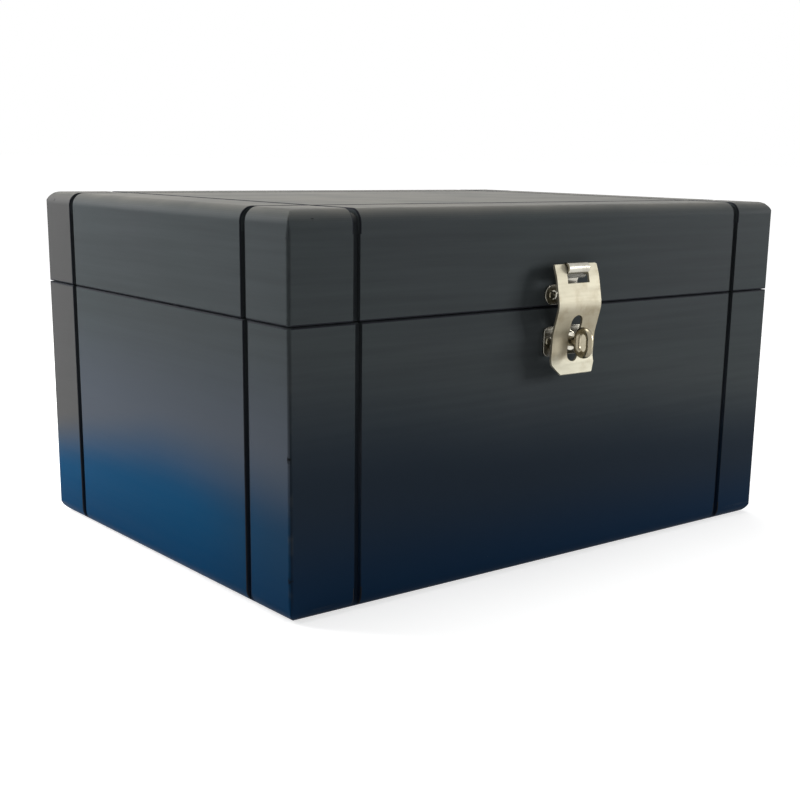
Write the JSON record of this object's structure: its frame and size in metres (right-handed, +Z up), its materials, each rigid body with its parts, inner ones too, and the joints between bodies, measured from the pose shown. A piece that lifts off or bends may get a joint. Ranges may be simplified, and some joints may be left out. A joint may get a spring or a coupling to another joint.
{
  "type": "wooden lock box",
  "caption": "Painted wooden box with a hinged lid, routed corner grooves and a nickel hasp whose slotted flap closes over a swivel padlock eye.",
  "frame": {"origin": "middle of the underside of the wooden body, on the surface that the box stands on", "axes": "+Z up, -Y out of the front, where the hasp is, +X to the right of someone facing the front"},
  "size_m": [0.27, 0.2211, 0.15],
  "materials": {
    "painted_board": "charcoal paint, satin, that runs to deep blue at the foot, bare wood inside",
    "nickel_plate": "bright nickel on pressed steel",
    "nickel_wire": "polished nickel",
    "screw": "nickel-plated steel"
  },
  "bodies": {
    "box": {"front_board": "painted_board", "back_board": "painted_board", "left_board": "painted_board", "right_board": "painted_board", "bottom_panel": "painted_board", "left_hinge_body_leaf": "nickel_plate", "right_hinge_body_leaf": "nickel_plate", "left_hinge_pin": "nickel_wire", "right_hinge_pin": "nickel_wire", "hinge_body_screws": "screw", "eye_plate": "nickel_plate", "eye_plate_screws": "screw"},
    "lid": {"lid_front_rail": "painted_board", "lid_back_rail": "painted_board", "lid_left_rail": "painted_board", "lid_right_rail": "painted_board", "lid_top_panel": "painted_board", "left_hinge_lid_leaf": "nickel_plate", "right_hinge_lid_leaf": "nickel_plate", "hinge_lid_screws": "screw", "hasp_bracket": "nickel_plate", "bracket_screws": "screw"},
    "flap": {"hasp_flap": "nickel_plate"},
    "eye": {"padlock_eye": "nickel_wire"}
  },
  "joints": [
    {"name": "lid_hinge", "type": "hinge", "parent": "box", "child": "lid", "pos_m": [0, 0.1025, 0.1096], "axis": [-1, 0, 0], "range_deg": [0, 180]},
    {"name": "flap_hinge", "type": "hinge", "parent": "lid", "child": "flap", "pos_m": [0, -0.1054, 0.12529], "axis": [-1, 0, 0], "range_deg": [0, 175]},
    {"name": "eye_turn", "type": "hinge", "parent": "box", "child": "eye", "pos_m": [0, -0.105, 0.0955], "axis": [0, -1, 0], "continuous": true}
  ]
}
